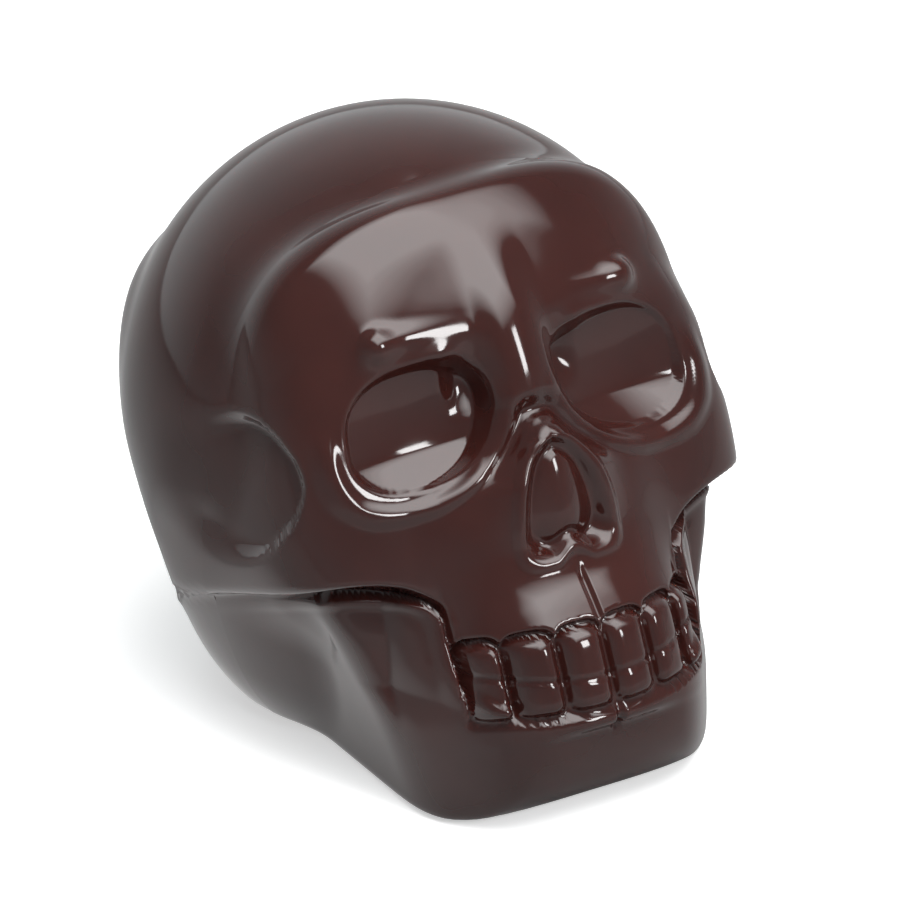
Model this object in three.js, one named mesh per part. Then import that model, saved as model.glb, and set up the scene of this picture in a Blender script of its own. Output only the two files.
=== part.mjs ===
// Hollow moulded chocolate skull: a face half and a back half joined by an inner bead. Millimetres, +Z up, face toward -Y.
import * as THREE from "three";
import { mergeGeometries } from "three/addons/utils/BufferGeometryUtils.js";

// Driving dimensions
const TILT = THREE.MathUtils.degToRad(25); // the face looks up by this much
const TABLE_DROP = 6.76; // from the face's own zero height down to the table
const SEAM_FORWARD = -20; // the upright seam plane, measured forward
const SEAM_HEIGHT = 42; // middle of the seam plane above the table
const JOINT_GAP = 0.3; // clearance left between pieces that touch
const WALL = 3.4; // chocolate shell
const MIDDLE_FORWARD = -17.04; // puts the bounding box on the origin
const CORE_RADIUS = 25; // disc in the seam plane from which the surface is measured
const NOMINAL_RADIUS = 40;
const LOOK_UP = 0.3; // the front's measuring lines rise with the face
const FRONT_REACH = 50;
const BACK_REACH = 47;
const AROUND = 104; // facets round each half
const FRONT_ROWS = 48;
const BACK_ROWS = 12;
const ROW_SPREAD = 1.15; // packs the front rows toward the nose and teeth
const MOUTH_SPREAD = 0.4; // packs the facets round each half toward the mouth
const INNER_ROWS = 5;
const BEAD_HALF_WIDTH = 2.4;
const BEAD_THICKNESS = 1.7;

const COS = Math.cos(TILT);
const SIN = Math.sin(TILT);

// Shape functions: each gives a signed distance, negative inside
const clamp = (v, low, high) => Math.min(high, Math.max(low, v));

function blend(a, b, k) {
  const h = clamp(0.5 + (0.5 * (b - a)) / k, 0, 1);
  return b + (a - b) * h - k * h * (1 - h);
}

function cut(a, b, k) {
  return -blend(-a, -b, k);
}

function ramp(from, to, v) {
  const s = clamp((v - from) / (to - from), 0, 1);
  return s * s * (3 - 2 * s);
}

function hump(v) {
  const s = clamp(Math.abs(v), 0, 1);
  return (1 - s * s) ** 2;
}

function egg(x, y, z, centre, radii) {
  const a = (x - centre[0]) / radii[0];
  const b = (y - centre[1]) / radii[1];
  const c = (z - centre[2]) / radii[2];
  const k = Math.hypot(a, b, c);
  return (k * (k - 1)) / (Math.hypot(a / radii[0], b / radii[1], c / radii[2]) + 1e-9);
}

function boxyEgg(x, y, z, centre, radii, p) {
  const a = Math.abs(x - centre[0]) / radii[0] + 1e-6;
  const b = Math.abs(y - centre[1]) / radii[1] + 1e-6;
  const c = Math.abs(z - centre[2]) / radii[2] + 1e-6;
  const k = (a ** p + b ** p + c ** p) ** (1 / p);
  const slope = Math.hypot(a ** (p - 1) / radii[0], b ** (p - 1) / radii[1], c ** (p - 1) / radii[2]);
  return (k - 1) / (slope * k ** (1 - p));
}

function rod(x, y, z, a, b, ra, rb) {
  const d = [b[0] - a[0], b[1] - a[1], b[2] - a[2]];
  const along = (x - a[0]) * d[0] + (y - a[1]) * d[1] + (z - a[2]) * d[2];
  const t = clamp(along / (d[0] ** 2 + d[1] ** 2 + d[2] ** 2), 0, 1);
  return Math.hypot(x - a[0] - t * d[0], y - a[1] - t * d[1], z - a[2] - t * d[2]) - (ra + (rb - ra) * t);
}

// Tooth number along the arch, counted from the middle
function toothAlong(x) {
  if (x < 7.3) return x / 7.3;
  if (x < 14) return 1 + (x - 7.3) / 6.7;
  if (x < 18.6) return 2 + (x - 14) / 4.6;
  return 3 + (x - 18.6) / 5.7;
}

// Outside of the skull. x sideways, f forward and z up in the face's own tilted frame
function skull(side, f, z) {
  const x = Math.abs(side);
  const F = COS * f - SIN * z;
  const H = SIN * f + COS * z - TABLE_DROP;

  const dome = egg(x, f, z, [0, -4.25, 58.3], [41.1, 38.35, 40]);
  const under = egg(x, F, H, [0, -26, 24], [36, 33, 36]);
  let forehead = boxyEgg(x, f, z, [0, -2, 58], [38.5, 34.4, 38.5], 2.6);
  const crease = ((x / 36) ** 3 + (Math.abs(z - 50) / 37.8) ** 3) ** (1 / 3) * 34 - 34;
  forehead = cut(forehead, crease, 2);

  let brow = rod(x, f, z, [4, 26.2, 67.5], [20, 25.7, 68.8], 5.4, 5.6);
  brow = blend(brow, rod(x, f, z, [20, 25.7, 68.8], [31, 18, 62], 5.6, 6), 3);
  let cheekbones = boxyEgg(x, f, z, [0, 2, 50], [38.8, 28.4, 27], 4.5);
  cheekbones = cut(cheekbones, 30.5 + 0.33 * (x - 20.6) - z, 1.6);
  const upperJaw = boxyEgg(x, f, z, [0, 15, 38], [22.5, 24, 22], 2.6);
  const bridge = rod(x, f, z, [0, 28, 62], [0, 33, 52], 4.5, 6.5);

  let arch = ((x / 20.5) ** 2.5 + (Math.max(f - 18, 0) / 23) ** 2.5 + 1e-9) ** 0.4;
  arch = cut(cut((arch - 1) * 19, Math.abs(z - 20) - 12, 2), 5 - f, 4);

  const sweep = F + (x / 24) ** 4 * (3.4 + 11.5 * clamp(H / 18, 0, 1.1));
  const profile = (((Math.max(sweep - 5, 0) / 25.5) ** 2.2 + (Math.abs(H - 19) / 21) ** 2.2 + 1e-9) ** (1 / 2.2) - 1) * 21;
  const flank = (x - 23.6 - 0.27 * H) * 0.966;
  let jaw = cut(profile, flank, 4);
  jaw = cut(jaw, z - 10.4 - 0.0085 * x * x - 0.38 * (38.5 - f), 1.5);
  jaw = cut(jaw, -30 - F, 4);
  let cheek = 0.44 * x + 0.89 * f - 0.125 * z - 28.4;
  cheek = cut(cut(cheek, flank, 5), Math.max(-30 - F, z - 45), 4);
  cheek = cut(cheek, profile, 4);
  jaw = blend(jaw, cheek, 6);

  let d = blend(dome, under, 8);
  d = blend(d, forehead, 1.5);
  let face = blend(brow, cheekbones, 4);
  face = blend(face, upperJaw, 4);
  face = blend(face, bridge, 5);
  d = blend(d, face, 3);
  d = blend(d, blend(arch, jaw, 1.5), 2.5);

  // Temple hollow
  const temple = Math.hypot((f - 7) / 17.5, (z - 52) / 10.5);
  d += 2.4 * ramp(1.04, 0.94, temple) * clamp((f + 9) / 28, 0, 1) * ramp(24, 30, x);

  // Eye sockets: a sloping wall and a dished floor
  const ex = (x - 17.2) / 11.4;
  const ez = (z - 57.2) / 10.2;
  const low = clamp(-ez, 0, 1);
  let rho = (Math.abs(ex) ** 2.4 + Math.abs(ez) ** 2.4 + 1e-9) ** (1 / 2.4);
  rho *= 1 + 0.3 * clamp(-ex, 0, 1) * low - 0.2 * clamp(ex, 0, 1) * low - 0.12 * hump((x - 9) / 7) * hump((z - 68) / 6);
  const socket = 3.4 * ramp(1.2, 0.88, rho) + 1.4 * (1 - clamp(rho / 0.92, 0, 1) ** 2);
  d += socket * ramp(10, 16, f);

  // Nose opening with its septum
  const up = (z - 35.5) / 15.8;
  const half = 6.6 * clamp(1 - clamp(up, 0, 1) ** 2, 0, 1) ** 0.8;
  const within = Math.min(half - x, z - 35 + 0.4 * hump((x - 4) / 3), 51 - z);
  const nose = 3.8 * ramp(-0.8, 1.8, within);
  const septum = 2 * hump(x / 2.4) * ramp(-0.5, 1, within) * ramp(50, 44, z);
  d += (nose - septum) * ramp(22, 28, f);

  // Teeth and the roots above them
  const t = toothAlong(x);
  const cell = Math.min(1, Math.abs((t % 1) - 0.5) * 2);
  const tall = z > 15.6 ? (z - 15.6) / 7.2 : (15.6 - z) / 4.8;
  const row = ramp(24, 22.5, z) * ramp(9.8, 10.8, z) * ramp(3.15, 3, t);
  const pillow = (1 - cell ** 4) * (1 - clamp(Math.abs(tall - 0.5) * 2, 0, 1) ** 5);
  const root = ramp(22.5, 25, z) * ramp(36, 26, z) * (1 - cell ** 2) * ramp(3.15, 3, t);
  d -= (1.7 * pillow * row + 0.8 * root - 0.9 * row) * ramp(20, 27, f);

  return cut(d, -H, 2.5);
}

// Inside of the shell: smoother than the outside, clear of the sockets and the nose
function hollow(side, f, z) {
  const x = Math.abs(side);
  const F = COS * f - SIN * z;
  const H = SIN * f + COS * z - TABLE_DROP;
  let room = egg(x, f, z, [0, -4.25, 58.3], [41.1, 38.35, 40]) + WALL;
  room = cut(room, f - 19 - 0.55 * Math.max(0, z - 66), 6);
  const base = egg(x, F, H, [0, -26, 24], [36, 33, 36]) + WALL;
  const mouth = egg(x, F, H, [0, 0, 18], [19, 20, 14]);
  room = blend(blend(room, base, 8), mouth, 8);
  return cut(room, WALL - H, 3);
}

// Walks in along one measuring line to the first wall of a form
function surfacePoint(form, reach, s, cosine, sine) {
  const at = (k) => {
    const radius = (CORE_RADIUS + k * (NOMINAL_RADIUS - CORE_RADIUS)) * Math.sin(s);
    const forward = k * reach * Math.cos(s);
    const climb = Math.max(0, reach) * k * Math.cos(s) * LOOK_UP;
    return [radius * cosine, SEAM_FORWARD + forward, SEAM_HEIGHT + radius * sine + climb];
  };
  const value = (k) => {
    const [x, F, H] = at(k);
    return form(x, COS * F + SIN * (H + TABLE_DROP), COS * (H + TABLE_DROP) - SIN * F);
  };
  let inner = 3.4;
  while (inner > -1.6 && value(inner) > 0) inner -= 0.02;
  let outer = inner + 0.02;
  for (let i = 0; i < 26; i++) {
    const middle = 0.5 * (inner + outer);
    if (value(middle) > 0) outer = middle;
    else inner = middle;
  }
  return at(inner);
}

// Lays a sheet (half sphere or ring) onto a form
function drape(geometry, form, facing, rim, spread = 1) {
  const reach = facing > 0 ? FRONT_REACH : BACK_REACH;
  const position = geometry.attributes.position;
  for (let i = 0; i < position.count; i++) {
    const v = new THREE.Vector3().fromBufferAttribute(position, i);
    const s = (Math.PI / 2) * ((2 / Math.PI) * Math.acos(clamp(v.y, -1, 1))) ** spread;
    const turn = Math.atan2(-facing * v.z, v.x);
    const angle = turn - MOUTH_SPREAD * Math.cos(turn);
    let [x, F, H] = surfacePoint(form(v), facing * reach, rim ? Math.PI / 2 : s, Math.cos(angle), Math.sin(angle));
    if (rim || s > Math.PI / 2 - 1e-6) F = SEAM_FORWARD;
    position.setXYZ(i, x, MIDDLE_FORWARD - F - (facing * JOINT_GAP) / 2, Math.max(H, 0));
  }
  return geometry;
}

function turnInsideOut(geometry) {
  const index = geometry.index;
  for (let i = 0; i < index.count; i += 3) {
    const b = index.getX(i + 1);
    index.setX(i + 1, index.getX(i + 2));
    index.setX(i + 2, b);
  }
  return geometry;
}

function shell(facing, rows) {
  const outside = new THREE.SphereGeometry(1, AROUND, rows, 0, 2 * Math.PI, 0, Math.PI / 2);
  const inside = new THREE.SphereGeometry(1, AROUND, INNER_ROWS, 0, 2 * Math.PI, 0, Math.PI / 2);
  const rim = new THREE.SphereGeometry(1, AROUND, 1, 0, 2 * Math.PI, Math.PI / 2, 0.2);
  drape(outside, () => skull, facing, false, facing > 0 ? ROW_SPREAD : 1);
  drape(inside, () => hollow, facing, false);
  drape(rim, (v) => (v.y > -0.1 ? skull : hollow), facing, true);
  const sheets = [outside, turnInsideOut(inside), rim];
  return mergeGeometries(sheets.map((g) => g.deleteAttribute("uv").deleteAttribute("normal")));
}

// Bead of chocolate that runs round the inside of the seam
function bead() {
  const geometry = new THREE.TorusGeometry(10, 1, 8, AROUND / 2);
  const position = geometry.attributes.position;
  for (let i = 0; i < position.count; i++) {
    const v = new THREE.Vector3().fromBufferAttribute(position, i);
    const radius = Math.hypot(v.x, v.y);
    const cosine = v.x / radius;
    const sine = v.y / radius;
    let room = Infinity;
    for (const facing of [1, -1]) {
      for (const s of [Math.PI / 2, Math.PI / 2 - 0.03, Math.PI / 2 - 0.06]) {
        const [x, , H] = surfacePoint(hollow, facing * (facing > 0 ? FRONT_REACH : BACK_REACH), s, cosine, sine);
        room = Math.min(room, Math.hypot(x, H - SEAM_HEIGHT));
      }
    }
    const across = v.z;
    const depth = radius - 10;
    const r = room - JOINT_GAP - 0.25 - (BEAD_THICKNESS * (1 - depth)) / 2;
    position.setXYZ(i, r * cosine, MIDDLE_FORWARD - SEAM_FORWARD - across * BEAD_HALF_WIDTH, SEAM_HEIGHT + r * sine);
  }
  return geometry;
}

function piece(name, geometry, colour) {
  const material = new THREE.MeshStandardMaterial({ color: colour, roughness: 0.25, metalness: 0 });
  const mesh = new THREE.Mesh(geometry, material);
  mesh.name = name;
  return mesh;
}

const group = new THREE.Group();
group.name = "chocolate_skull";
group.add(piece("front_shell", shell(1, FRONT_ROWS), 0x3a2120));
group.add(piece("back_shell", shell(-1, BACK_ROWS), 0x3a2120));
group.add(piece("seam_bead", bead(), 0x34201e));

export default group;
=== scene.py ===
"""Moulded chocolate skull: two glossy half shells welded at an upright seam.

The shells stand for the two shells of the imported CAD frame, and its inner bead is shown as it is.
"""

import math

import bmesh
import bpy
import numpy as np
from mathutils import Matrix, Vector


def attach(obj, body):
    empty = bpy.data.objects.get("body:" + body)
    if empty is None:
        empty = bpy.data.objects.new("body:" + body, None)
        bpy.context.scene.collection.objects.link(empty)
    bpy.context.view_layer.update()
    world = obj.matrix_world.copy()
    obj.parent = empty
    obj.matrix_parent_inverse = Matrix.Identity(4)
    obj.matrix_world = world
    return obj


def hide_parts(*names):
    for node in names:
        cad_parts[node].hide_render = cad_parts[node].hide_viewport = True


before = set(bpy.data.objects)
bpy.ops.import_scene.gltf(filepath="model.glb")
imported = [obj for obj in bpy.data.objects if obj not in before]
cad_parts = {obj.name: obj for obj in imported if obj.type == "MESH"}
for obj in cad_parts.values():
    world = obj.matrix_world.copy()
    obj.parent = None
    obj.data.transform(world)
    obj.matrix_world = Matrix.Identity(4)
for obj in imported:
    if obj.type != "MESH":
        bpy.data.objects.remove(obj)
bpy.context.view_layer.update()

bl_info = {
    "name": "Chocolate skull",
    "version": (1, 0, 0),
    "blender": (4, 5, 0),
    "location": "3D View > Sidebar > Chocolate skull",
    "description": "Builds a moulded chocolate skull from its two half shells, with its finish and studio",
    "category": "Add Mesh",
}

MM = 0.001
TINY = 1e-9
SMALL = 1e-6

# The forms of the head, in millimetres, stand in the mould's own frame, which leans back with the face:
# x is the distance from the middle line, f is forward and z is up. The names forward and height are used
# for the same in the table's frame, where the seam is upright. An egg has a middle and three half sizes, a
# boxy egg has its power too, and a rod has two ends and their radii.
TABLE_DROP = 6.76
SEAM_FORWARD = -20.0
MIDDLE_FORWARD = -17.04
DOME = (0, -4.25, 58.3), (41.3, 38.5, 40.5)
UNDERSIDE = (0, -26, 24), (36, 33, 36)
FOREHEAD_PLATE = (0, -2, 58), (39.3, 34.4, 39.0), 2.7
CREASE_MIDDLE = 50
CREASE_HALF_WIDTH = 36.6
CREASE_HALF_HEIGHT = 38.2
CREASE_POWER = 3.2
CREASE_SIZE = 34
FOREHEAD_DIP = 0.15
FOREHEAD_DIP_HEIGHT = 77

# Brow, cheekbones, upper jaw and bridge of the nose.
BROW = (5, 29.5, 69.0), (20, 28.9, 69.4), 2.1, 2.3
BROW_END = (20, 28.4, 68.8), (29.8, 18.2, 61.8), 2.3, 4.5
BRIDGE = (0, 27, 69), (0, 26.8, 58), 4.4, 4.6
CHEEKBONE = (0, 2, 50), (38.8, 28.4, 27), 4.5
CHEEKBONE_NARROWING = 0.075
CHEEK_LINE_HEIGHT = 36.9
CHEEK_LINE_DIVE = 6.2
CHEEK_LINE_RUN = 6
CHEEK_LINE_CORNER = 19.7
UPPER_JAW = (0, 15, 36), (22.3, 21, 20), 2.7
NOSE_MOUND = (0, 28, 44.0), (10.5, 11.0, 11.8), 2.5
NOSE_MOUND_PINCH = 1.1

# Chin and lower jaw.
CHIN_MIDDLE = 19
CHIN_HALF_HEIGHT = 21
CHIN_START = 5
CHIN_REACH = 25.5
CHIN_POWER = 2.8
CHIN_HALF_WIDTH = 24
CHIN_CORNER = 25.5
CHIN_SWEEP = 2.6
CHIN_SWEEP_RISE = 12.3
BEVEL_FORWARD = 18.8
BEVEL_SIDE = 24.0
BEVEL_RISE = 0.24
BEVEL_STEP = 0.9
BEVEL_SLOPE = 1.62
BEVEL_SLOPE_FALL = 0.77
FLANK_SIDE = 23.7
FLANK_RISE = 0.13
FLANK_BOW = 0.0055
FLANK_EASE = 0.96
JAW_BACK = -30
JAW_GAP = 0.7
LEDGE_HEIGHT = 10.1
LEDGE_BOW = 0.0085
LEDGE_SLOPE = 0.38
LEDGE_LIP = 38.5
LEDGE_SCALLOP = 0.7
MOUTH_HALF_WIDTH = 19.3
MOUTH_INSET = 3.2
MOUTH_INSET_FALL = 2.2
GROOVE_DEPTH = 0.8
LIP_HEIGHT = 0.45

# The arch that carries the teeth, and the teeth.
ARCH_HALF_WIDTH = 21.4
ARCH_REACH = 22.0
ARCH_START = 18
ARCH_LEAN = 0.37
ARCH_LEAN_START = 22.5
ARCH_POWER = 2.2
ARCH_SIZE = 19
ARCH_TOP = 38
ARCH_BOTTOM = 8
ARCH_BACK = 5
TOOTH_EDGES = [0, 7.3, 14.3, 19.1, 22]
TOOTH_NUMBERS = [0, 1, 2, 3, 3.6]
TEETH_TOP = 23.7
TEETH_TOP_BOW = 0.003
TEETH_BOTTOM = 10.9
TEETH_BOTTOM_BOW = 0.0052
TOOTH_HEIGHT = 1.9
TOOTH_POWER = 3.2
UPPER_TOOTH_POWER = 5.5
LOWER_TOOTH_POWER = 9
BITE_HEIGHT = 15.6
BITE_BOW = 0.012
BITE_DEPTH = 0.3
BITE_HALF_WIDTH = 0.5
POCKET_DEPTH = 1.0
GUM_FALL = 0.45
GUM_SEAM_DEPTH = 0.5
CHIN_NOTCH_DEPTH = 0.6

# Temple, eye sockets and nose opening.
TEMPLE_DEPTH = 2.4
TEMPLE_FORWARD = 7
TEMPLE_HEIGHT = 52
TEMPLE_HALF_LENGTH = 17.5
TEMPLE_UP = 12.5
TEMPLE_DOWN = 10.5
SOCKET_SIDE = 17.3
SOCKET_HEIGHT = 56.2
SOCKET_HALF_WIDTH = 10.0
SOCKET_HALF_HEIGHT = 8.3
SOCKET_POWER = 2.3
SOCKET_INNER_LEAN = 0.24
SOCKET_OUTER_LEAN = 0.10
SOCKET_SIZE = 8.9
SOCKET_WALL_LEAN = 0.4
SOCKET_WALL_LEAN_TOP = 0.35
SOCKET_WALL_EASE = 0.85
SOCKET_CORNER = 0.8
DISH_FORWARD = 27.1
DISH_SIDE = 17.1
DISH_TURN = 0.10
DISH_TILT = 0.06
DISH_CUP = 1.3
DISH_CUP_END = 1.3
DISH_FOLD_HEIGHT = 52.8
DISH_FOLD_SLOPE = 0.19
DISH_FOLD_ROUNDING = 0.15
RIM_HEIGHT = 0.85
RIM_DISTANCE = 3.2
RIM_HALF_WIDTH = 2.1
NOSE_BOTTOM = 36.5
NOSE_LENGTH = 14.2
NOSE_TOP = 50.1
NOSE_HALF_WIDTH = 6.1
NOSE_FLOOR = 34.6
NOSE_FLOOR_SPUR = 1.5
NOSE_DEPTH = 2.4
NOSE_WALL_HEIGHT = 1.3
NOSE_RIM_HEIGHT = 0.4
RIDGE_HEIGHT = 1.8
RIDGE_SIDE_DEPTH = 1.9
RIDGE_SIDE_PLACE = 7.5
RIDGE_SIDE_HEIGHT = 61.8

# The measuring lines that find the skin start from a core inside the head and lean up a little.
CORE_HEIGHT = 42.0
CORE_RADIUS = 25.0
LINE_RADIUS = 15.0
LOOK_UP = 0.3
FRONT_REACH = 50.0
BACK_REACH = -47.0
MOUTH_SPREAD = 0.5
LINE_START = 3.4
LINE_SPEED = 70.0
SHORT_STEP = 0.004
HALVINGS = 10
SKIN_RADIUS = 1.0
INSIDE_RADIUS = 0.5

# Studio, in metres, degrees and shader strengths. A strength of 1 is white. The pool is painted light: a
# patch of the floor beside the jaw that glows with no lamp, which the gloss alone sees bright, as a painted
# reflection of light on the floor there. The strip lamp has its name, azimuth, elevation, distance, width and
# height.
FLOOR_HALF = 0.9
FLOOR_GLOW = 0.5
POOL_MIDDLE = (-48 * MM, 2 * MM, 0)
POOL_INNER = 18 * MM
POOL_OUTER = 60 * MM
PAINTED_POOL_GLOW = 0.75
LAMP_TARGET = (0, 0, 45 * MM)
OVERHEAD_STEPS = 6
OVERHEAD_AZIMUTH = 20
OVERHEAD_ELEVATION = 76
OVERHEAD_DISTANCE = 1.0
OVERHEAD_SPACING = 0.02
OVERHEAD_WIDTH = 0.65
OVERHEAD_WIDENING = 0.13
STRIP_LAMP = ("strip lamp", 14, 32, 1.0, 0.2, 0.26)
BRIGHT_SIDE = (0.2, 0.97, 0.0)
ROOM_DIM = 0.25
ROOM_BRIGHT = 0.8
HORIZON_GLOW = 0.2
HORIZON_END = 0.4
ROOM_TINT = (0.93, 1.01, 1.03)
CAMERA_TARGET = (-11.78, -20.98, 52.08)
CAMERA_DIRECTION = (-0.4509, -0.7389, 0.5)
CAMERA_DISTANCE = 0.8


def soft_union(a, b, over):
    """The lower of two distances, with the valley between them filled over so many millimetres."""
    h = np.clip(0.5 + 0.5 * (b - a) / over, 0, 1)
    return b + (a - b) * h - over * h * (1 - h)


def soft_cut(a, b, over):
    """The higher of two distances, with the edge between them rounded over so many millimetres."""
    return -soft_union(-a, -b, over)


def ramp(start, end, t):
    """0 up to the start and 1 from the end, with a smooth rise between them."""
    share = np.clip((t - start) / (end - start), 0, 1)
    return share * share * (3 - 2 * share)


def hump(t):
    """1 at 0, falling smoothly to 0 at 1 and at -1."""
    t = np.clip(np.abs(t), 0, 1)
    return (1 - t * t) ** 2


def rounded(a, b, power, least=TINY):
    """How far out a point is in a box with rounded corners, 1 on its edge."""
    return (a ** power + b ** power + least) ** (1 / power)


def egg(x, f, z, middle, radii):
    """Distance from an egg."""
    a, b, c = (x - middle[0]) / radii[0], (f - middle[1]) / radii[1], (z - middle[2]) / radii[2]
    size = np.sqrt(a * a + b * b + c * c)
    slope = np.sqrt((a / radii[0]) ** 2 + (b / radii[1]) ** 2 + (c / radii[2]) ** 2) + TINY
    return size * (size - 1) / slope


def boxy_egg(x, f, z, middle, radii, power):
    """Distance from an egg that a higher power makes boxier."""
    a = np.abs(x - middle[0]) / radii[0] + SMALL
    b = np.abs(f - middle[1]) / radii[1] + SMALL
    c = np.abs(z - middle[2]) / radii[2] + SMALL
    size = (a ** power + b ** power + c ** power) ** (1 / power)
    q = power - 1
    steep = (a ** q / radii[0]) ** 2 + (b ** q / radii[1]) ** 2 + (c ** q / radii[2]) ** 2
    return (size - 1) / (np.sqrt(steep) * size ** -q)


def rod(x, f, z, start, end, start_radius, end_radius):
    """Distance from a round rod between two points, with a radius at each end."""
    run = [e - s for s, e in zip(start, end)]
    dx, df, dz = x - start[0], f - start[1], z - start[2]
    t = np.clip((dx * run[0] + df * run[1] + dz * run[2]) / sum(r * r for r in run), 0, 1)
    away = np.sqrt((dx - t * run[0]) ** 2 + (df - t * run[1]) ** 2 + (dz - t * run[2]) ** 2)
    return away - (start_radius + (end_radius - start_radius) * t)


def braincase(x, f, z, forward, height):
    """The dome, its underside and the raised forehead plate with its crease."""
    dome = egg(x, f, z, *DOME)
    under = egg(x, forward, height, *UNDERSIDE)
    plate = boxy_egg(x, f, z, *FOREHEAD_PLATE)
    up = np.abs(z - CREASE_MIDDLE) / CREASE_HALF_HEIGHT
    crease = rounded(x / CREASE_HALF_WIDTH, up, CREASE_POWER, least=0) * CREASE_SIZE - CREASE_SIZE
    plate = soft_cut(plate, crease, over=2.0)
    return soft_union(soft_union(dome, under, over=7.0), plate, over=1.5)


def cheek_line(x):
    """Height of the cheekbone's lower edge, which dives to the mouth."""
    run = (CHEEK_LINE_CORNER - np.maximum(x, 17)) / CHEEK_LINE_RUN
    return CHEEK_LINE_HEIGHT - CHEEK_LINE_DIVE * np.exp(run)


def face(x, f, z):
    """Brow, cheekbones, upper jaw, the bridge of the nose and the mound round its opening."""
    brow = soft_union(rod(x, f, z, *BROW), rod(x, f, z, *BROW_END), over=2.5)
    wide = x * (1 + CHEEKBONE_NARROWING * np.clip((z - 42) / 21, 0, 1.4) ** 2)
    cheekbone = boxy_egg(wide, f, z, *CHEEKBONE)
    cheekbone = soft_cut(cheekbone, cheek_line(x) - z, over=1.1)
    pinch = x * (1 + NOSE_MOUND_PINCH * ramp(44, 55, z))
    made = soft_union(cheekbone, brow, over=1.5)
    made = soft_union(made, boxy_egg(x, f, z, *UPPER_JAW), over=4)
    made = soft_union(made, rod(x, f, z, *BRIDGE), over=3)
    return soft_union(made, boxy_egg(pinch, f, z, *NOSE_MOUND), over=3.5)


def chin_profile(x, forward, height):
    """The chin seen from the side, swept round to the cheeks."""
    sweep = CHIN_SWEEP + CHIN_SWEEP_RISE * np.clip(height / 18, 0, 1.1)
    flare = (np.minimum(x, CHIN_CORNER) / CHIN_HALF_WIDTH) ** 4 * sweep
    run = np.maximum(forward + flare - CHIN_START, 0) / CHIN_REACH
    return (rounded(run, np.abs(height - CHIN_MIDDLE) / CHIN_HALF_HEIGHT, CHIN_POWER) - 1) * CHIN_HALF_HEIGHT


def tooth_place(x):
    """Tooth number along the arch from the middle, and the share from that tooth's middle, 1 at its edge."""
    place = np.interp(x, TOOTH_EDGES, TOOTH_NUMBERS)
    return place, np.abs((place % 1) - 0.5) * 2


def jaw_edge(x, f, z):
    """Distance from the line where the lower jaw stops under the cheekbone and round the mouth."""
    scallop = LEDGE_SCALLOP * tooth_place(x)[1] ** 2 * ramp(19.1, 17, x)
    ledge = z - LEDGE_HEIGHT - LEDGE_BOW * x * x - LEDGE_SLOPE * (LEDGE_LIP - f) - scallop
    return soft_cut(soft_union(ledge, MOUTH_HALF_WIDTH - x, over=2.5), z - cheek_line(x) + JAW_GAP, over=2.0)


def jaw_groove(x, f, z):
    """Depth of the groove along that line on the cheek, with the jaw's lip beside it."""
    edge = jaw_edge(x, f, z)
    groove = GROOVE_DEPTH * hump((edge - 0.3) / 1.0) - LIP_HEIGHT * hump((edge + 1.5) / 1.3)
    return groove * ramp(18.6, 19.6, x) * ramp(38, 30, x) * ramp(14, 20, z)


def lower_jaw(x, f, z, forward, height):
    """The lower jaw, bevelled at the cheeks, flat at its flanks and cut away round the mouth."""
    slope = BEVEL_SLOPE - BEVEL_SLOPE_FALL * ramp(12, 33, z)
    side = BEVEL_SIDE + BEVEL_RISE * z + BEVEL_STEP * ramp(23, 30, z) - x
    bevel = (f - BEVEL_FORWARD - slope * side) / np.sqrt(1 + slope * slope)
    lower = soft_cut(chin_profile(x, forward, height), bevel, over=3)
    inset = MOUTH_INSET - MOUTH_INSET_FALL * ramp(17, 19.6, x)
    lower = soft_union(soft_cut(lower, jaw_edge(x, f, z), over=1.6), lower + inset, over=0.8)
    lower = soft_cut(lower, z - cheek_line(x) + JAW_GAP, over=2.0)
    flank = (x - FLANK_SIDE - FLANK_RISE * height - FLANK_BOW * height * np.maximum(height, 0)) * FLANK_EASE
    return soft_cut(soft_cut(lower, flank, over=3.0), JAW_BACK - forward, over=4)


def tooth_arch(x, f, z):
    """The arch that carries the teeth."""
    reach = np.maximum(f - ARCH_START + ARCH_LEAN * np.maximum(z - ARCH_LEAN_START, 0), 0)
    arch = (rounded(x / ARCH_HALF_WIDTH, reach / ARCH_REACH, ARCH_POWER) - 1) * ARCH_SIZE
    arch = soft_cut(arch, z - ARCH_TOP, over=6)
    arch = soft_cut(arch, ARCH_BOTTOM - z, over=2)
    return soft_cut(arch, ARCH_BACK - f, over=4)


def temple(x, f, z):
    """Depth of the hollow behind the cheekbone, with its crescent edge."""
    up = (z - TEMPLE_HEIGHT) / np.where(z > TEMPLE_HEIGHT, TEMPLE_UP, TEMPLE_DOWN)
    reach = np.sqrt(((f - TEMPLE_FORWARD) / TEMPLE_HALF_LENGTH) ** 2 + up ** 2)
    soft = 0.17 + 0.52 * ramp(18, -4, f)
    return TEMPLE_DEPTH * ramp(1.04, 1.04 - soft, reach) * np.clip((f + 9) / 28, 0, 1) * ramp(24, 30, x)


def socket_reach(x, z):
    """How far out a point is from an eye socket's middle, 1 on the edge of its dish."""
    across, up = (x - SOCKET_SIDE) / SOCKET_HALF_WIDTH, (z - SOCKET_HEIGHT) / SOCKET_HALF_HEIGHT
    low = np.clip(-up, 0, 1)
    lean = SOCKET_INNER_LEAN * np.clip(-across, 0, 1) * low - SOCKET_OUTER_LEAN * np.clip(across, 0, 1) * low
    return rounded(np.abs(across), np.abs(up), SOCKET_POWER) * (1 + lean)


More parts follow.
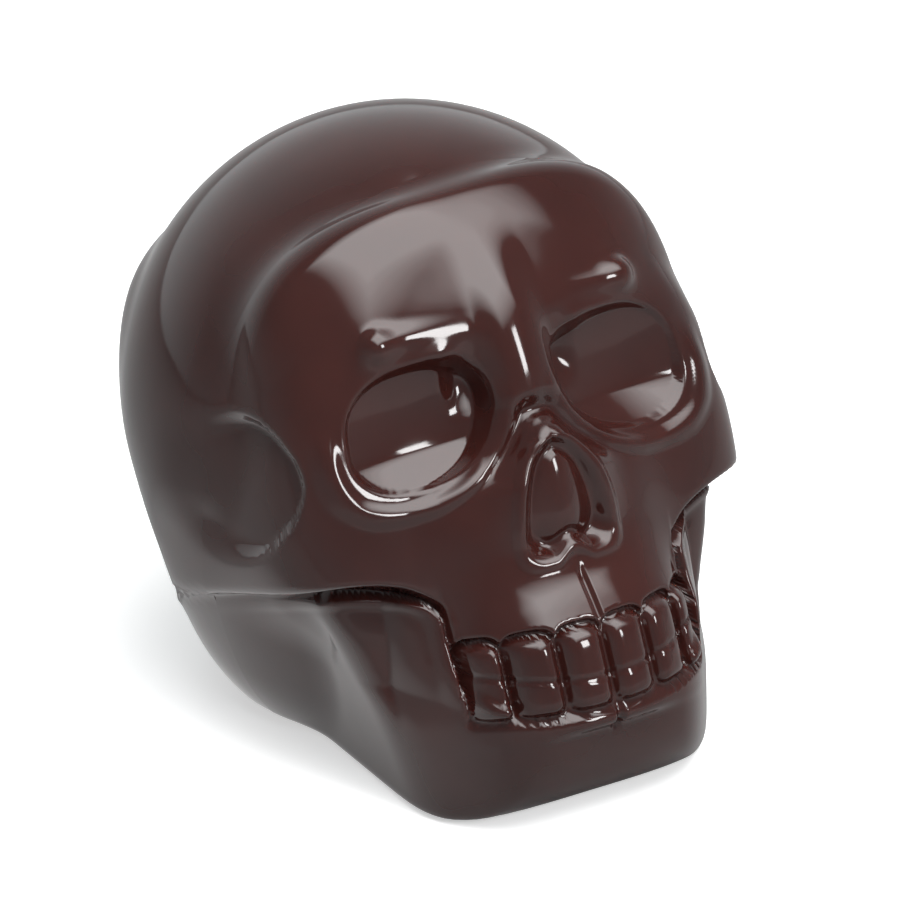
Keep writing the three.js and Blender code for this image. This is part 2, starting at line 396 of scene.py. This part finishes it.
def socket_tool(x, f, z):
    """The solid that an eye socket is pressed with: a sloping wall round a shallow dish."""
    reach = socket_reach(x, z)
    floor = DISH_FORWARD - DISH_TURN * (x - DISH_SIDE) + DISH_TILT * (z - SOCKET_HEIGHT)
    floor = floor + DISH_CUP * np.minimum(reach, DISH_CUP_END) ** 2
    below = DISH_FOLD_HEIGHT - z
    floor = floor + DISH_FOLD_SLOPE * (below + np.sqrt(below ** 2 + DISH_FOLD_ROUNDING))
    tall = f - floor
    corner = SOCKET_CORNER * hump((x - 10) / 5.5) * hump((z - 67.2) / 4.0)
    lean = SOCKET_WALL_LEAN + SOCKET_WALL_LEAN_TOP * ramp(58, 64, z)
    wall = ((reach - 1) * SOCKET_SIZE - lean * tall - corner) * SOCKET_WALL_EASE
    return np.maximum(wall, -tall)


def socket_rim(x, f, z):
    """Height of the lip round the lower and outer side of a socket."""
    away = (socket_reach(x, z) - 1) * SOCKET_SIZE - RIM_DISTANCE
    return RIM_HEIGHT * hump(away / RIM_HALF_WIDTH) * ramp(61, 53, z) * ramp(10, 16, f)


def nose(x, f, z):
    """Depth of the pear-shaped nose opening, with its middle wall, raised rim and the ridge of the bridge."""
    up = np.clip((z - NOSE_BOTTOM) / NOSE_LENGTH, 0, 1)
    half = NOSE_HALF_WIDTH * (1 - up ** 2.1) ** 0.7
    floor = NOSE_FLOOR + NOSE_FLOOR_SPUR * hump(x / 3.4)
    inside = soft_union(half - x, np.minimum(z - floor, NOSE_TOP - z), over=3.5)
    hollow = NOSE_DEPTH * ramp(-1.3, 1.1, inside)
    wall = NOSE_WALL_HEIGHT * hump(x / 4.6) * ramp(-0.5, 1.8, inside)
    rim = NOSE_RIM_HEIGHT * hump((inside + 1.9) / 1.2)
    ridge = RIDGE_HEIGHT * hump(x / 6.8) * ramp(54.5, 58, z) * ramp(84, 67, z)
    side = RIDGE_SIDE_DEPTH * hump((x - RIDGE_SIDE_PLACE) / 4.5) * hump((z - RIDGE_SIDE_HEIGHT) / 7)
    return (hollow - wall - rim - ridge + side) * ramp(22, 28, f)


def teeth(x, f, z):
    """Height of the teeth over the gum, with the bite line and the grooves on the middle line."""
    place, cell = tooth_place(x)
    top, bottom = TEETH_TOP + TEETH_TOP_BOW * x * x, TEETH_BOTTOM + TEETH_BOTTOM_BOW * x * x
    middle, tall = (top + bottom) / 2, np.maximum(top - bottom, 1) / 2
    along = np.abs(z - middle) / tall
    there = ramp(3.12, 3.0, place)
    upper = z > middle
    edge = cell ** TOOTH_POWER + along ** np.where(upper, UPPER_TOOTH_POWER, LOWER_TOOTH_POWER)
    pillow = TOOTH_HEIGHT * np.clip(1 - edge, 0, 1) * there
    bite = BITE_DEPTH * hump((z - BITE_HEIGHT - BITE_BOW * x * x) / BITE_HALF_WIDTH) * ramp(0, 0.4, pillow)
    pocket = POCKET_DEPTH * np.where(upper, ramp(1.6, 0.95, edge), ramp(1.2, 0.95, along)) * there
    gum = GUM_FALL * np.where(upper, ramp(1.05, 1.7, edge), 0) * ramp(36, 26, z) * there
    seam = GUM_SEAM_DEPTH * hump(x / 0.9) * ramp(22, 23.5, z) * ramp(32.5, 29, z)
    notch = CHIN_NOTCH_DEPTH * hump(x / 1.0) * ramp(6.5, 8, z) * ramp(11.5, 10, z)
    return (pillow - bite - pocket + gum - seam - notch) * ramp(20, 27, f)


def skull(side, f, z, tilt):
    """How far a point of the mould's frame is outside the skull's skin, in millimetres."""
    x = np.abs(side)
    forward = math.cos(tilt) * f - math.sin(tilt) * z
    height = math.sin(tilt) * f + math.cos(tilt) * z - TABLE_DROP
    jaw = soft_union(tooth_arch(x, f, z), lower_jaw(x, f, z, forward, height), over=0.8)
    skin = soft_union(braincase(x, f, z, forward, height), face(x, f, z), over=1.2)
    skin = soft_union(skin, jaw, over=2.0)
    skin = skin + temple(x, f, z) - socket_rim(x, f, z)
    skin = soft_cut(skin, -socket_tool(x, f, z), over=0.9)
    skin = skin + nose(x, f, z) - teeth(x, f, z) + jaw_groove(x, f, z)
    dip = FOREHEAD_DIP * hump((z - FOREHEAD_DIP_HEIGHT) / 6)
    skin = skin + dip * ramp(1, 8, x) * ramp(32, 24, x) * ramp(10, 20, f)
    return soft_cut(skin, -height, over=1.6)


def line_points(along, spread, turn, reach):
    """Points at the share along of measuring lines, as side, forward and height in the table's frame."""
    radius = CORE_RADIUS + LINE_RADIUS * along
    side = radius * np.sin(spread) * np.cos(turn)
    forward = SEAM_FORWARD + along * reach * np.cos(spread)
    lean = max(0.0, reach) * along * np.cos(spread) * LOOK_UP
    return side, forward, CORE_HEIGHT + radius * np.sin(spread) * np.sin(turn) + lean


def skin_points(spread, turn, reach, tilt):
    """Where each measuring line meets the skin from outside."""

    def gap(along, chosen):
        side, forward, height = line_points(along, spread[chosen], turn[chosen], reach)
        height = height + TABLE_DROP
        f = math.cos(tilt) * forward + math.sin(tilt) * height
        z = math.cos(tilt) * height - math.sin(tilt) * forward
        return skull(side, f, z, tilt)

    along = np.full(len(spread), LINE_START)
    outside = along.copy()
    moving = np.arange(len(spread))
    while len(moving):
        distance = gap(along[moving], moving)
        moving = moving[distance > 0]
        distance = distance[distance > 0]
        outside[moving] = along[moving]
        along[moving] -= np.maximum(distance / LINE_SPEED, SHORT_STEP)
    inside = along
    everyone = np.arange(len(spread))
    for _ in range(HALVINGS):
        middle = (inside + outside) / 2
        free = gap(middle, everyone) > 0
        outside = np.where(free, middle, outside)
        inside = np.where(free, inside, middle)
    return line_points((inside + outside) / 2, spread, turn, reach)


def half_ball(bm, around, rows, radius, inward):
    """The half of a ball on the +Z side, wrapped from a flat grid, as a start for a shell."""
    made = bmesh.ops.create_grid(bm, x_segments=around, y_segments=rows, size=1.0)["verts"]
    ends = []
    for v in made:
        turn, fall = -math.pi * v.co.x, math.pi / 4 * (v.co.y + 1)
        if abs(v.co.x) > 1 - SMALL or v.co.y < SMALL - 1:
            ends.append(v)
        out = radius * math.sin(fall)
        v.co = out * math.cos(turn), out * math.sin(turn), radius * math.cos(fall)
    if inward:
        bmesh.ops.reverse_faces(bm, faces=list({face for v in made for face in v.link_faces}))
    bmesh.ops.remove_doubles(bm, verts=ends, dist=SMALL * radius)


def hollow_ball(name, around, rows, inner_rows):
    """A mesh of two half balls, the skin and the inside, joined by a flat rim with sharp edges."""
    bm = bmesh.new()
    half_ball(bm, around, rows, SKIN_RADIUS, False)
    half_ball(bm, around, inner_rows, INSIDE_RADIUS, True)
    edges = [edge for edge in bm.edges if edge.is_boundary]
    rim = bmesh.ops.bridge_loops(bm, edges=edges)["faces"]
    for edge in {edge for face in rim for edge in face.edges}:
        if any(face not in rim for face in edge.link_faces):
            edge.smooth = False
    for face in bm.faces:
        face.smooth = True
    mesh = bpy.data.meshes.new(name)
    bm.to_mesh(mesh)
    bm.free()
    return mesh


def shell(name, facing, around, rows, sizes):
    """One half shell as a mesh object. It faces forward with a facing of 1, and back with -1."""
    mesh = hollow_ball(name, around, rows, sizes.inner_rows)
    place = np.zeros(len(mesh.vertices) * 3)
    mesh.vertices.foreach_get("co", place)
    place = place.reshape(-1, 3)
    radius = np.linalg.norm(place, axis=1)
    theta = np.arccos(np.clip(place[:, 2] / radius, 0, 1))
    turn = np.arctan2(place[:, 1], place[:, 0] * facing)
    outer = radius > (SKIN_RADIUS + INSIDE_RADIUS) / 2
    reach = FRONT_REACH if facing > 0 else BACK_REACH
    spread = theta.copy()
    if facing > 0:
        spread[outer] = math.pi / 2 * (2 * theta[outer] / math.pi) ** sizes.row_spread
        turn = turn - MOUTH_SPREAD * np.cos(turn)
    turn = np.where(place[:, 0] ** 2 + place[:, 1] ** 2 < SMALL ** 2, math.pi / 2, turn)
    side, forward, height = skin_points(spread, turn, reach, sizes.tilt)
    points = np.stack([side, forward, height], axis=1)
    points[theta > math.pi / 2 - SMALL, 1] = SEAM_FORWARD
    core = np.array([0.0, SEAM_FORWARD, CORE_HEIGHT])
    away = points - core
    length = np.linalg.norm(away, axis=1, keepdims=True)
    inner_points = core + away * (1 - sizes.wall / MM / length)
    points[~outer] = inner_points[~outer]
    points[:, 2] = np.maximum(points[:, 2], 0)
    world = np.stack([points[:, 0], MIDDLE_FORWARD - points[:, 1], points[:, 2]], axis=1) * MM
    mesh.vertices.foreach_set("co", world.ravel())
    mesh.update()
    made = bpy.data.objects.new(name, mesh)
    bpy.context.scene.collection.objects.link(made)
    return made


def add_node(tree, kind, inputs=None, **settings):
    """Adds a node with its settings. An input is a value, or another node's output to link from."""
    made = tree.nodes.new(kind)
    for key, value in settings.items():
        setattr(made, key, value)
    for key, value in (inputs or {}).items():
        if isinstance(value, bpy.types.NodeSocket):
            tree.links.new(value, made.inputs[key])
        else:
            made.inputs[key].default_value = value
    return made


def linear(colour):
    """An sRGB hex colour as the linear colour that a shader takes."""
    parts = [int(colour[i:i + 2], 16) / 255 for i in (1, 3, 5)]
    return tuple(p / 12.92 if p <= 0.04045 else ((p + 0.055) / 1.055) ** 2.4 for p in parts) + (1.0,)


def tempered_chocolate(finish):
    """Tempered dark chocolate, cast in a polished mould: cloudy in tone, with hazier patches in its gloss."""
    material = bpy.data.materials.new("tempered dark chocolate, moulded gloss")
    material.use_nodes = True
    tree = material.node_tree
    tree.nodes.clear()
    place = add_node(tree, "ShaderNodeTexCoord").outputs["Object"]
    cloud = add_node(tree, "ShaderNodeTexNoise",
                     {"Vector": place, "Scale": 1 / (22 * MM), "Detail": 3.0, "Roughness": 0.5})
    tone = add_node(tree, "ShaderNodeMapRange",
                    {"Value": cloud.outputs["Fac"], "From Min": 0.3, "From Max": 0.7})
    colour = add_node(tree, "ShaderNodeMix",
                      {"Factor": tone.outputs["Result"], "A": linear(finish.dark), "B": linear(finish.light)},
                      data_type="RGBA")
    haze = add_node(tree, "ShaderNodeTexNoise",
                    {"Vector": place, "Scale": 1 / (9 * MM), "Detail": 4.0, "Roughness": 0.6})
    gloss = add_node(tree, "ShaderNodeMapRange",
                     {"Value": haze.outputs["Fac"], "From Min": 0.35, "From Max": 0.7,
                      "To Min": finish.roughness_low, "To Max": finish.roughness_high})
    wave = add_node(tree, "ShaderNodeTexNoise", {"Vector": place, "Scale": 1 / (11 * MM), "Detail": 1.0})
    swell = add_node(tree, "ShaderNodeBump",
                     {"Height": wave.outputs["Fac"], "Strength": 1.0, "Distance": 0.05 * MM})
    shader = add_node(tree, "ShaderNodeBsdfPrincipled",
                      {"Base Color": colour.outputs["Result"], "Roughness": gloss.outputs["Result"],
                       "Normal": swell.outputs["Normal"], "IOR": finish.ior,
                       "Subsurface Weight": 0.12, "Subsurface Radius": (2.5 * MM, 0.8 * MM, 0.5 * MM),
                       "Subsurface Scale": 1.0})
    add_node(tree, "ShaderNodeOutputMaterial", {"Surface": shader.outputs["BSDF"]})
    return material


def matt_card(studio):
    """Matt pale card, white to the camera and darker in what the gloss mirrors of it, with a painted pool of
    light beside the jaw that glows for the gloss alone.
    """
    material = bpy.data.materials.new("matt pale card")
    material.use_nodes = True
    tree = material.node_tree
    tree.nodes.clear()
    place = add_node(tree, "ShaderNodeTexCoord").outputs["Object"]
    path = add_node(tree, "ShaderNodeLightPath")
    tone = add_node(tree, "ShaderNodeMix",
                    {"Factor": path.outputs["Is Camera Ray"],
                     "A": linear(studio.floor_near), "B": linear(studio.floor)},
                    data_type="RGBA")
    card = add_node(tree, "ShaderNodeBsdfDiffuse", {"Color": tone.outputs["Result"]})
    # Painted light: the pool, a patch of floor beside the jaw that glows without a lamp and is seen only by
    # the gloss.
    away = add_node(tree, "ShaderNodeVectorMath", {0: place, 1: POOL_MIDDLE}, operation="DISTANCE")
    painted_light_pool = add_node(tree, "ShaderNodeMapRange",
                    {"Value": away.outputs["Value"], "From Min": POOL_INNER, "From Max": POOL_OUTER,
                     "To Min": PAINTED_POOL_GLOW, "To Max": 0.0})
    shine = add_node(tree, "ShaderNodeMath",
                     {0: painted_light_pool.outputs["Result"], 1: path.outputs["Is Glossy Ray"]}, operation="MULTIPLY")
    glow = add_node(tree, "ShaderNodeMath",
                    {0: path.outputs["Is Camera Ray"], 1: FLOOR_GLOW, 2: shine.outputs["Value"]},
                    operation="MULTIPLY_ADD")
    light = add_node(tree, "ShaderNodeEmission", {"Strength": glow.outputs["Value"]})
    both = add_node(tree, "ShaderNodeAddShader", {0: card.outputs["BSDF"], 1: light.outputs["Emission"]})
    add_node(tree, "ShaderNodeOutputMaterial", {"Surface": both.outputs["Shader"]})
    return material


def lay_floor(scene, studio):
    """The floor, with its matt card."""
    bm = bmesh.new()
    bmesh.ops.create_grid(bm, x_segments=1, y_segments=1, size=FLOOR_HALF)
    mesh = bpy.data.meshes.new("floor")
    bm.to_mesh(mesh)
    bm.free()
    mesh.materials.append(matt_card(studio))
    floor = bpy.data.objects.new("floor", mesh)
    scene.collection.objects.link(floor)


def aimed(thing, place, target):
    """Puts a lamp or the camera at a place and turns it to look at a target."""
    direction = Vector(target) - Vector(place)
    thing.rotation_mode = "QUATERNION"
    thing.location = place
    thing.rotation_quaternion = direction.to_track_quat("-Z", "Y")


def from_angles(azimuth, elevation, distance):
    """A point seen from the object at an azimuth from -Y and an elevation, both in degrees."""
    a, e = math.radians(azimuth), math.radians(elevation)
    return Vector((math.sin(a) * math.cos(e), -math.cos(a) * math.cos(e), math.sin(e))) * distance


def hang_lamp(scene, name, azimuth, elevation, distance, width, tall, radiance):
    """A rectangular lamp that is aimed at the skull."""
    lamp = bpy.data.lights.new(name, "AREA")
    lamp.shape = "RECTANGLE"
    lamp.size = width
    lamp.size_y = tall
    lamp.energy = radiance * math.pi * width * tall
    holder = bpy.data.objects.new(name, lamp)
    scene.collection.objects.link(holder)
    aimed(holder, from_angles(azimuth, elevation, distance), LAMP_TARGET)


def hang_lamps(scene, studio):
    """The overhead light, a stack of wider and wider lamps that gives it a soft edge, and the strip lamp."""
    for step in range(OVERHEAD_STEPS):
        width = OVERHEAD_WIDTH + OVERHEAD_WIDENING * step
        hang_lamp(scene, "overhead lamp %d" % step, OVERHEAD_AZIMUTH, OVERHEAD_ELEVATION,
                  OVERHEAD_DISTANCE + OVERHEAD_SPACING * step, width, width, studio.overhead / OVERHEAD_STEPS)
    hang_lamp(scene, *STRIP_LAMP, studio.strip)


def surround(scene):
    """The room: white to the camera, and dim in the gloss, brighter behind the skull and at the horizon."""
    world = bpy.data.worlds.new("studio surroundings")
    scene.world = world
    world.use_nodes = True
    tree = world.node_tree
    tree.nodes.clear()
    look = add_node(tree, "ShaderNodeTexCoord").outputs["Generated"]
    behind = add_node(tree, "ShaderNodeVectorMath", {0: look, 1: BRIGHT_SIDE}, operation="DOT_PRODUCT")
    level = add_node(tree, "ShaderNodeMapRange",
                     {"Value": behind.outputs["Value"], "From Min": 0.35, "From Max": 0.85,
                      "To Min": ROOM_DIM, "To Max": ROOM_BRIGHT})
    parts = add_node(tree, "ShaderNodeSeparateXYZ", {"Vector": look})
    low = add_node(tree, "ShaderNodeMapRange",
                   {"Value": parts.outputs["Z"], "From Min": 0.0, "From Max": HORIZON_END,
                    "To Min": HORIZON_GLOW, "To Max": 0.0})
    dim = add_node(tree, "ShaderNodeMath",
                   {0: level.outputs["Result"], 1: low.outputs["Result"]}, operation="ADD")
    tinted = add_node(tree, "ShaderNodeVectorMath",
                      {0: ROOM_TINT, "Scale": dim.outputs["Value"]}, operation="SCALE")
    path = add_node(tree, "ShaderNodeLightPath")
    shown = add_node(tree, "ShaderNodeVectorMath",
                     {0: tinted.outputs["Vector"], 1: path.outputs["Is Camera Ray"]}, operation="MAXIMUM")
    light = add_node(tree, "ShaderNodeBackground", {"Color": shown.outputs["Vector"]})
    add_node(tree, "ShaderNodeOutputWorld", {"Surface": light.outputs["Background"]})


def place_camera(scene, studio):
    """The camera, which looks down at the face from its right side, as the photo's does."""
    camera = bpy.data.cameras.new("camera")
    camera.type = "ORTHO"
    camera.ortho_scale = studio.width
    camera.clip_end = 20
    holder = bpy.data.objects.new("camera", camera)
    scene.collection.objects.link(holder)
    target = Vector(CAMERA_TARGET) * MM
    aimed(holder, target + Vector(CAMERA_DIRECTION) * CAMERA_DISTANCE, target)
    scene.camera = holder


class SkullSizes(bpy.types.PropertyGroup):
    """Sizes of the moulded shells."""
    tilt: bpy.props.FloatProperty(
        name="Tilt", description="How far the face leans back from upright",
        default=math.radians(25), subtype="ANGLE")
    wall: bpy.props.FloatProperty(
        name="Wall", description="Thickness of the cast chocolate at the seam",
        default=3.4 * MM, unit="LENGTH")
    front_around: bpy.props.IntProperty(
        name="Front columns", description="Facets round the front shell", default=440)
    front_rows: bpy.props.IntProperty(
        name="Front rows", description="Facets from the nose to the seam", default=186)
    back_around: bpy.props.IntProperty(
        name="Back columns", description="Facets round the back shell", default=220)
    back_rows: bpy.props.IntProperty(
        name="Back rows", description="Facets from the back of the head to the seam", default=70)
    inner_rows: bpy.props.IntProperty(
        name="Inner rows", description="Rows of the unseen inside of each shell", default=14)
    row_spread: bpy.props.FloatProperty(
        name="Row spread", description="Above 1, the rows draw together on the face", default=1.3)


class ChocolateFinish(bpy.types.PropertyGroup):
    """Colours and gloss of the cast chocolate."""
    dark: bpy.props.StringProperty(name="Dark tone", description="sRGB hex colour", default="#301512")
    light: bpy.props.StringProperty(name="Light tone", description="sRGB hex colour", default="#3B1B17")
    roughness_low: bpy.props.FloatProperty(
        name="Gloss", description="Roughness where the cast left the mould cleanly",
        default=0.07, subtype="FACTOR")
    roughness_high: bpy.props.FloatProperty(
        name="Haze", description="Roughness of the hazier patches", default=0.13, subtype="FACTOR")
    ior: bpy.props.FloatProperty(name="IOR", description="Refractive index of the surface fat", default=1.55)


class SkullStudio(bpy.types.PropertyGroup):
    """Floor, lamps and camera."""
    floor: bpy.props.StringProperty(name="Floor", description="sRGB hex colour", default="#F2F2F2")
    floor_near: bpy.props.StringProperty(
        name="Floor in the gloss", description="What the gloss mirrors of the floor, sRGB hex colour",
        default="#A8A8A8")
    overhead: bpy.props.FloatProperty(
        name="Overhead lamps", description="Radiance of the stack of wide lamps above", default=5.2)
    strip: bpy.props.FloatProperty(
        name="Strip lamp", description="Radiance of the upright strip lamp in front", default=18.0)
    width: bpy.props.FloatProperty(
        name="View width", description="Width that the camera takes in",
        default=129.7 * MM, unit="LENGTH")


def dressed(piece, node_name, finish):
    """Makes a finished piece ride with the body, stand for its CAD node and carry its finish."""
    piece.data.materials.clear()
    piece.data.materials.append(finish)
    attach(piece, "root")
    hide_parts(node_name)


def chocolate(context):
    """The one chocolate material, made when first asked for."""
    known = bpy.data.materials.get("tempered dark chocolate, moulded gloss")
    return known or tempered_chocolate(context.scene.skull_finish)


class SKULL_OT_front_shell(bpy.types.Operator):
    """Face half of the skull, cast in one with its teeth"""
    bl_idname = "skull.front_shell"
    bl_label = "Front shell"

    def execute(self, context):
        sizes = context.scene.skull_sizes
        piece = shell("front_shell_cast", 1, sizes.front_around, sizes.front_rows, sizes)
        dressed(piece, "front_shell", chocolate(context))
        return {"FINISHED"}


class SKULL_OT_back_shell(bpy.types.Operator):
    """Back half of the skull"""
    bl_idname = "skull.back_shell"
    bl_label = "Back shell"

    def execute(self, context):
        sizes = context.scene.skull_sizes
        piece = shell("back_shell_cast", -1, sizes.back_around, sizes.back_rows, sizes)
        dressed(piece, "back_shell", chocolate(context))
        return {"FINISHED"}


class SKULL_OT_seam_bead(bpy.types.Operator):
    """Finish of the bead of chocolate that joins the halves inside"""
    bl_idname = "skull.seam_bead"
    bl_label = "Seam bead"

    def execute(self, context):
        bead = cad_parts["seam_bead"]
        bead.data.materials.clear()
        bead.data.materials.append(chocolate(context))
        return {"FINISHED"}


class SKULL_OT_stage(bpy.types.Operator):
    """Pale floor, soft lamps, surroundings and camera"""
    bl_idname = "skull.stage"
    bl_label = "Stage"

    def execute(self, context):
        scene = context.scene
        studio = scene.skull_studio
        lay_floor(scene, studio)
        hang_lamps(scene, studio)
        surround(scene)
        place_camera(scene, studio)
        scene.view_settings.view_transform = "Standard"
        return {"FINISHED"}


class SKULL_PT_panel(bpy.types.Panel):
    """Lists the values and the pieces of the skull"""
    bl_idname = "SKULL_PT_panel"
    bl_label = "Chocolate skull"
    bl_space_type = "VIEW_3D"
    bl_region_type = "UI"
    bl_category = "Chocolate skull"

    def draw(self, context):
        for group in (context.scene.skull_sizes, context.scene.skull_finish, context.scene.skull_studio):
            for name in group.__annotations__:
                self.layout.prop(group, name)
        for operator in OPERATORS:
            self.layout.operator(operator.bl_idname)


GROUPS = {"skull_sizes": SkullSizes, "skull_finish": ChocolateFinish, "skull_studio": SkullStudio}
OPERATORS = (SKULL_OT_front_shell, SKULL_OT_back_shell, SKULL_OT_seam_bead, SKULL_OT_stage)


def register():
    """Makes the values, the operators and the panel known."""
    for kind in (*GROUPS.values(), *OPERATORS, SKULL_PT_panel):
        bpy.utils.register_class(kind)
    for name, kind in GROUPS.items():
        setattr(bpy.types.Scene, name, bpy.props.PointerProperty(type=kind))


def unregister():
    """Takes back what register made known."""
    for name in GROUPS:
        delattr(bpy.types.Scene, name)
    for kind in reversed((*GROUPS.values(), *OPERATORS, SKULL_PT_panel)):
        bpy.utils.unregister_class(kind)


def main():
    """Builds the pieces and the stage."""
    register()
    bpy.ops.skull.front_shell()
    bpy.ops.skull.back_shell()
    bpy.ops.skull.seam_bead()
    bpy.ops.skull.stage()


if __name__ == "__main__":
    main()
